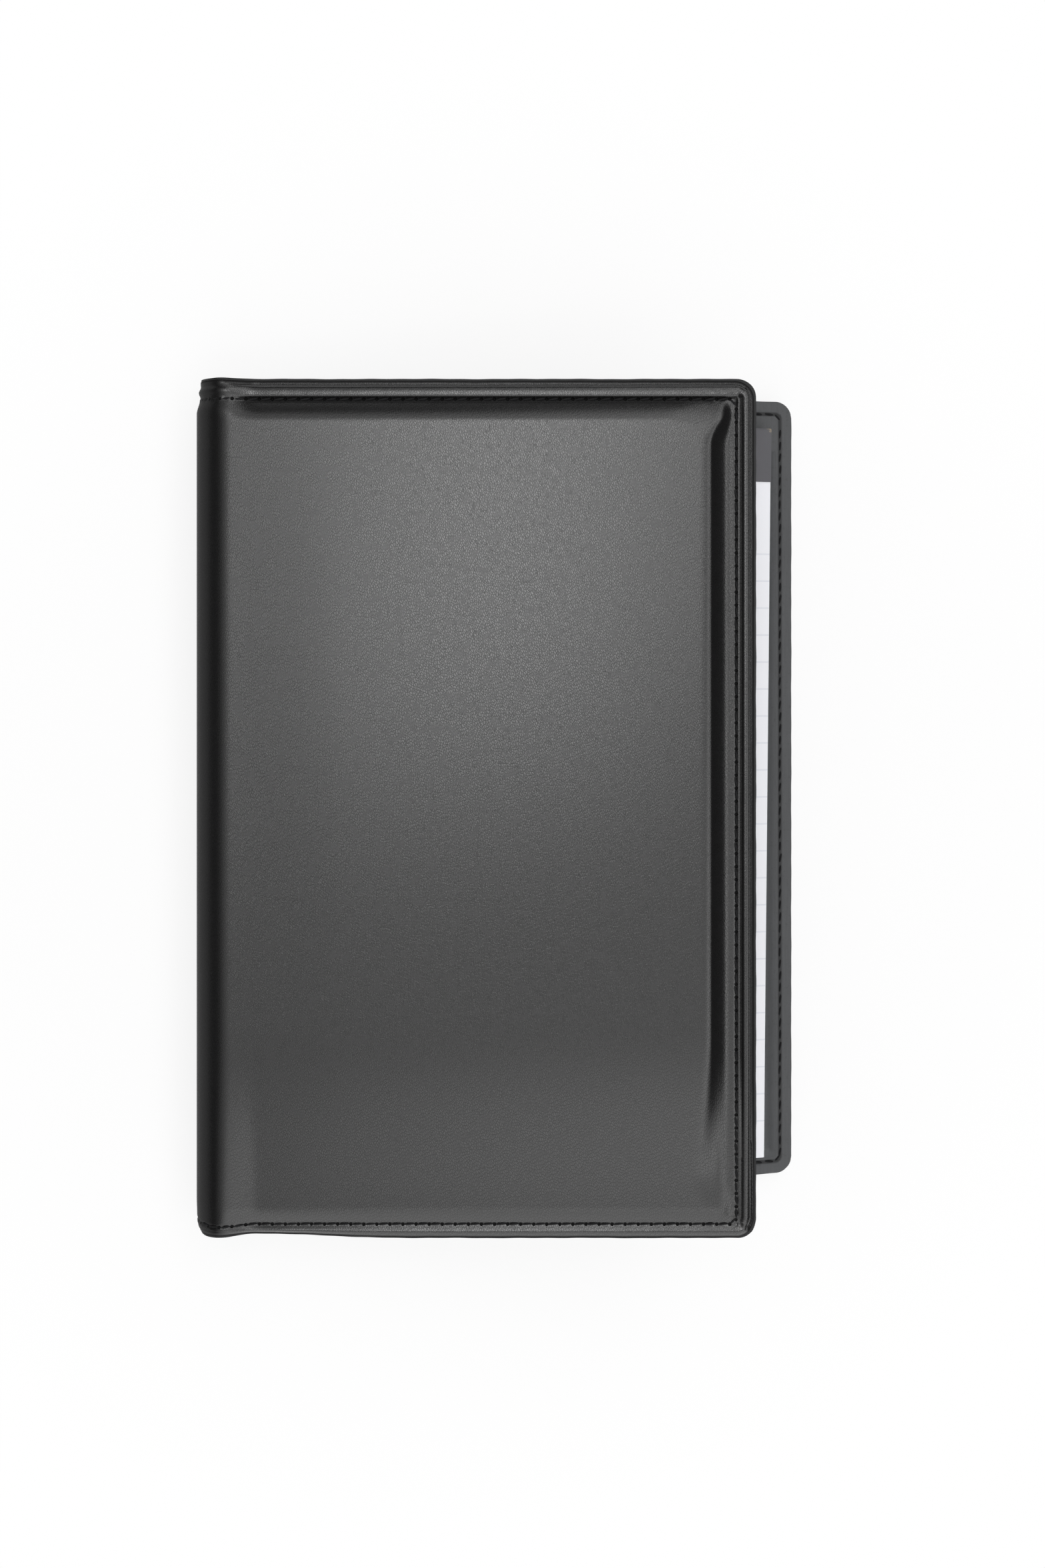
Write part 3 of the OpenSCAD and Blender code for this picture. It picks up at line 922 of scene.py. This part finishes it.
def cover_seam(cover):
    """The seam round a cover: its outer threads, and the inner ones."""
    lean = 7
    corner_in, corner_length = 0.85, stitch_length * 0.8
    corner_clear = 0.7
    sway, sway_waves = 0.16, (43, 19, 8.3)
    swing, swing_waves = 5, (11, 7.9)
    seam = cover.length - cover.edge_seam
    head, foot = half_h - cover.head_seam, half_h - cover.foot_seam
    along_count = int((seam + half_roll) / stitch_pitch)
    lowest = math.ceil(corner_clear - foot / stitch_pitch)
    highest = math.floor(head / stitch_pitch - corner_clear)
    stitches = []
    for level, slant in ((seam_level, lean), (gap, -lean)):
        for end, line in ((-1, -foot), (1, head)):
            for i in range(1, along_count):
                stitches.append(((seam - i * stitch_pitch, line, level), slant, stitch_length))
            corner = seam - corner_in, line - end * corner_in, level
            stitches.append((corner, -45 * end, corner_length))
        for i in range(lowest, highest + 1):
            side = i * stitch_pitch
            middle = seam + sway * wave(side, *sway_waves), side, level
            stitches.append((middle, 90 + slant + swing * wave(side, *swing_waves), stitch_length))
    mesh = stitch_mesh(cover.name + "_seam", stitches)
    flat = places(mesh)
    along, side, height = flat.T
    outer = height > (seam_level + gap) / 2
    outer_rise = np.where(side > 0, head_thread_flare, foot_thread_flare) - seam_level
    flat[:, 2] += np.where(outer, outer_rise, lining_flare) * flare(along)
    piece = finish_piece(mesh, flat, cover.lay(flat), thread, cover.flip)
    return cover.follow(piece)


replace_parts(cover_seam(rear), "rear_stitching", "spine_stitching")
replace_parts(cover_seam(front), "front_stitching")


# Pockets

pocket_t = 0.6
hem_w = 1.5
hem_slope = 2.2
hem_steps = [0, 0.4, 0.8, hem_w, hem_w + 0.5, hem_w + 1.1, hem_w + 1.7, hem_w + hem_slope]
# The mouth is folded back along a crease.
mouth_crease = 6.0
mouth_steps = [0, 0.3, 0.7, 1.4, 5.6, mouth_crease, 6.4]
crease_depth, crease_w = 0.12, 0.35
mouth_round, mouth_round_w = 0.15, 0.9
# Past these distances from its rim a panel's columns and rows are even.
even_start, even_end, even_mouth = 6, 5, 9


def pocket_piece(name, node, cover, start, end, foot, mouth, depth, base):
    """A pocket panel, held down along its sides and foot and lying over what it holds."""
    even_columns = np.arange(start + even_start, end - even_end, coarse_step)
    even_rows = np.arange(foot + even_start, mouth - even_mouth, coarse_step)
    columns = [*(start + step for step in hem_steps), *even_columns, *(end - step for step in hem_steps)]
    rows = [*(foot + step for step in hem_steps), *even_rows, *(mouth - step for step in mouth_steps)]
    mesh, along, side, upper = shell(name, sorted(columns), sorted(rows))
    inside = np.minimum(np.minimum(along - start, end - along), side - foot)
    rise = base + depth * ease(inside, hem_w * 0.6, hem_w + hem_slope)
    crease = crease_depth * dimple(mouth - side, mouth_crease, crease_w)
    rolled = mouth_round * ease(side, mouth - mouth_round_w, mouth)
    height = -rise - np.where(upper, gap, pocket_t - crease - rolled)
    flat = np.stack([along, side, height], axis=1)
    piece = finish_piece(mesh, flat, cover.lay(flat), shaded_pocket_cloth, cover.flip)
    size = (end - start) * MM, (mouth - foot) * MM
    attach(piece, cover.name + "_cover")
    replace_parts(piece, node)


pocket_low, pocket_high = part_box("pad_pocket")
pocket_piece(
    "pad_pocket_panel", "pad_pocket", rear, pocket_low.x / MM - roll_x, pocket_high.x / MM - roll_x,
    pocket_low.y / MM, pocket_high.y / MM, depth=1.1, base=0)

pocket_foot = 5.5
document_start = 20.0
document_end = front_length - pocket_foot
document_foot = pocket_foot - half_h
document_height = 140.0
pocket_depth = 0.4
card_margin = 9.1
card_pocket_h = 46.0
card_pocket_gap = 12.0
pocket_piece(
    "document_pocket_panel", "document_pocket", front, document_start, document_end, document_foot,
    document_foot + document_height, depth=pocket_depth, base=0)
for row, node in enumerate(("card_pocket_lower", "card_pocket_upper")):
    foot = document_foot + card_pocket_gap + row * (card_pocket_h + card_pocket_gap)
    pocket_piece(
        node + "_panel", node, front, document_start + card_margin, document_end - card_margin, foot,
        foot + card_pocket_h, depth=pocket_depth, base=pocket_depth + pocket_t)


def pocket_seam():
    """The stitches of the document pocket's hems."""
    lean = 6
    level = -pocket_t - gap
    side_count = int((document_height - hem_w) / stitch_pitch)
    width = document_end - document_start
    foot_count = int((width - 2 * hem_w) / stitch_pitch)
    stitches = []
    for along in (document_start + hem_w / 2, document_end - hem_w / 2):
        for i in range(side_count):
            side = document_foot + hem_w + (i + 0.5) * stitch_pitch
            stitches.append(((along, side, level), 90 + lean, stitch_length))
    for i in range(foot_count):
        along = document_start + width / 2 + (i - (foot_count - 1) / 2) * stitch_pitch
        stitches.append(((along, document_foot + hem_w / 2, level), lean, stitch_length))
    mesh = stitch_mesh("pocket_seam", stitches)
    flat = places(mesh)
    piece = finish_piece(mesh, flat, front.lay(flat), thread)
    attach(piece, "front_cover")
    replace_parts(piece, "pocket_stitching")


pocket_seam()


# The pen loop

def strip(name, points, spacing, across, thickness):
    """A band along points in X and Z, across in Y: its mesh, its flat and folded spots, and its length."""
    points = np.array(points, float)
    steps = np.linalg.norm(np.diff(points, axis=0), axis=1)
    passed = np.concatenate([[0], np.cumsum(steps)])
    reach = np.linspace(0, passed[-1], int(passed[-1] / spacing) + 1)
    path = np.stack([np.interp(reach, passed, points[:, i]) for i in (0, 1)], axis=1)
    run = np.gradient(path, axis=0)
    run /= np.linalg.norm(run, axis=1, keepdims=True)
    normal = np.stack([-run[:, 1], run[:, 0]], axis=1)
    mesh, column, side, upper = shell(name, np.arange(len(path)), across)
    height = np.where(upper, thickness, 0)
    middle = path[column] + normal[column] * height[:, None]
    spots = np.stack([middle[:, 0], side, middle[:, 1]], axis=1)
    flat = np.stack([reach[column], side, height], axis=1)
    return mesh, flat, spots, reach[-1]


def pen_loop():
    """A band of elastic turned into a loop, with both of its ends sewn down."""
    band_t = 0.38
    spacing = 0.35
    loop_turns = [*range(0, 318, 6), 324, 332, 340]
    tail_start, tail_gap = 2.3, 0.05
    edge_w, edge_end, rib_columns = 0.3, 0.8, 41
    low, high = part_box("pen_loop")
    outer = (high.z - low.z) / MM / 2
    tail = (high.x - low.x) / MM - outer
    half = (high.y - low.y) / MM / 2
    radius = outer - band_t
    around = [(-math.sin(t) * radius, outer - math.cos(t) * radius) for t in np.radians(loop_turns)]
    upper_end = [(tail_start, 2 * band_t + tail_gap), (tail, 2 * band_t + gap)]
    path = [(tail, band_t), *around, *upper_end]
    ribs = np.linspace(edge_end - half, half - edge_end, rib_columns)
    across = [-half, edge_w - half, *ribs, half - edge_w, half]
    mesh, flat, spots, length = strip("pen_loop_band", path, spacing, across, band_t)
    place = Matrix.Translation((low.x / MM + outer, (low.y + high.y) / MM / 2, low.z / MM))
    piece = finish_piece(mesh, flat, moved(spots, place), elastic)
    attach(piece, "rear_cover")
    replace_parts(piece, "pen_loop")
    length * MM


pen_loop()


# The writing pad

card_low, card_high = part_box("pad_card")
stack_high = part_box("pad_sheets")[1].z / MM
pad_middle = (card_low + card_high) / 2 / MM
pad_turn = Matrix.Rotation(math.radians(-pad_skew), 4, "Z")
pad_place = Matrix.Translation((pad_middle.x, pad_middle.y, 0)) @ pad_turn
glue_t = 0.8
leaf_count = 24
glued_strips = 4
stack_low = card_high.z / MM + gap + glue_t
leaf_t = (stack_high - stack_low) / leaf_count


def pad_leaves():
    """The sheets in the stack, each a little out of line, over the strip where they are glued."""
    slip_x, slip_y = 0.16, 0.22
    shorter, foot_out = 0.4, 0.25
    leaf_share = 0.94
    bm = bmesh.new()
    for i in range(-glued_strips, leaf_count - 1):
        depth = pad_height if i >= 0 else glue_depth
        x = slip_x * math.sin(2.4 * i)
        y = (pad_height - depth) / 2 + slip_y * math.sin(1.7 * i + 1) - foot_out
        size = Matrix.Diagonal((pad_width, depth - shorter, leaf_t * leaf_share, 1))
        place = Matrix.Translation((x, y, stack_low + (i + 0.5) * leaf_t))
        bmesh.ops.create_cube(bm, size=1, matrix=place @ size)
    mesh = mesh_from(bm, "pad_leaves")
    flat = places(mesh)
    piece = finish_piece(mesh, flat, moved(flat, pad_place), paper)
    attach(piece, "pad")
    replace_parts(piece, "pad_sheets")


def top_sheet():
    """The ruled sheet, lifting a little at its outer corner."""
    column_count, row_count = 65, 109
    lift = 0.2
    lift_depth, lift_start = 45, -10
    head_margin = 0.1
    columns = np.linspace(-pad_width / 2, pad_width / 2, column_count)
    rows = np.linspace(-pad_height / 2, pad_height / 2 - head_margin, row_count)
    mesh, x, y, upper = shell("pad_top_sheet", columns, rows)
    curl = ease(-y, pad_height / 2 - lift_depth, pad_height / 2) * ease(x, lift_start, pad_width / 2)
    z = stack_high - leaf_t + np.where(upper, leaf_t, gap) + lift * curl
    flat = np.stack([x, y, z], axis=1)
    piece = finish_piece(mesh, flat, moved(flat, pad_place), ruled_paper)
    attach(piece, "pad")


def pad_tape():
    """The tape folded over the head of the pad."""
    bend = 0.35
    spacing = 0.25
    overhang = 0.1
    columns = 129
    head = pad_height / 2
    top, bottom = stack_high + gap, card_low.z / MM - gap
    turns = np.radians(np.arange(0, 91, 15))
    over = [(head - bend + bend * math.sin(t), top - bend + bend * math.cos(t)) for t in turns]
    under = [(head - bend + bend * math.cos(t), bottom + bend - bend * math.sin(t)) for t in turns]
    path = [(head - header_depth, top), *over, *under, (head - glue_depth, bottom)]
    across = np.linspace(-pad_width / 2 - overhang, pad_width / 2 + overhang, columns)
    mesh, _, spots, length = strip("pad_header_tape", path, spacing, across, tape_t)
    folded = spots[:, [1, 0, 2]]
    piece = finish_piece(mesh, folded, moved(folded, pad_place), tape)
    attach(piece, "pad")
    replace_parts(piece, "pad_header")
    size = pad_width * MM, length * MM


pad_leaves()
top_sheet()
pad_tape()


# Finishes of the pieces that keep their shape

def recoat(node, finish):
    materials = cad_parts[node].data.materials
    materials.clear()
    materials.append(finish)


recoat("pad_card", board_finish("tan_card", (0.4, 0.33, 0.24), (0.56, 0.48, 0.37)))
cover_board = board_finish("grey_board", (0.3, 0.27, 0.22), (0.46, 0.42, 0.35))
recoat("rear_board", cover_board)
recoat("front_board", cover_board)


# Floor, light and camera. Their sizes are in metres.

def floor():
    """A white floor that glows, a little less so round the part."""
    half_size = 3
    below = -0.2 * MM
    near_glow = 0.8
    glow_start, glow_end = 110, 230
    bm = bmesh.new()
    bmesh.ops.create_grid(bm, x_segments=1, y_segments=1, size=half_size)
    bmesh.ops.translate(bm, vec=(0, 0, below), verts=bm.verts[:])
    mesh = mesh_from(bm, "floor")
    f = Finish("white_floor")
    rays = f.node("LightPath", output=["Is Camera Ray", "Is Glossy Ray", "Is Transmission Ray"])
    matt = f.node("BsdfDiffuse", None, {"Color": (0.9, 0.9, 0.9, 1)})
    glow = f.node("Emission", None, {"Color": (1, 1, 1, 1), "Strength": 1.0})
    far = f.node("VectorMath", {"operation": "LENGTH"}, {0: f.object_place()}, output="Value")
    share = near_glow + f.between(far, glow_start, glow_end) * (1 - near_glow)
    seen = (rays[0] + rays[1] + rays[2]) * share
    mesh.materials.append(f.end(f.node("MixShader", None, {0: seen, 1: matt, 2: glow})))
    add_object("floor", mesh)


def soft_light(name, place, target, size, radiance):
    """A rectangular lamp of even brightness that faces a point."""
    lamp = bpy.data.lights.new(name, "AREA")
    lamp.shape = "RECTANGLE"
    lamp.size, lamp.size_y = size
    lamp.energy = radiance * math.pi * size[0] * size[1]
    held = add_object(name, lamp)
    held.location = place
    held.rotation_euler = (Vector(target) - Vector(place)).to_track_quat("-Z", "X").to_euler()


def cover_light(name, sideways, headways, height, size, radiance):
    """A lamp at a height over the tilted front cover, facing it squarely."""
    tilted = Matrix.Rotation(-tilt, 3, "Y")
    place, target = (tilted @ Vector((sideways, headways, up)) for up in (height, 0))
    soft_light(name, place, target, size, radiance)


floor()
cover_light("overhead_wide", 0.1, 0.6, 1.21, size=(2.1, 2.8), radiance=0.65)
cover_light("overhead_bright", -0.02, 0.3, 1.2, size=(0.26, 0.8), radiance=5.4)
cover_light("edge_strip", 1.12, 0.2, 1.19, size=(0.8, 2.0), radiance=1.6)
soft_light("head_fill", (0.3, 1.6, 1.3), (0.05, 0, 0), size=(1.6, 0.8), radiance=1.6)
soft_light("foot_wall", (0, -0.95, 1.1), (0, 0, 1.1), size=(2.16, 1.4), radiance=1.45)

world = bpy.data.worlds.new("studio")
world.use_nodes = True
background = world.node_tree.nodes["Background"]
background.inputs["Color"].default_value = (1, 1, 1, 1)
background.inputs["Strength"].default_value = 0.03
scene = bpy.context.scene
scene.world = world
scene.view_settings.view_transform = "Standard"

lens = bpy.data.cameras.new("camera")
lens.lens = 39.1
lens.sensor_width = 36
lens.shift_y = -0.1163
lens.clip_start = 0.01
camera = add_object("camera", lens)
camera.location = (-0.1191, 0.0552, 0.4783)
camera.rotation_euler = (0, -tilt, 0)
scene.camera = camera
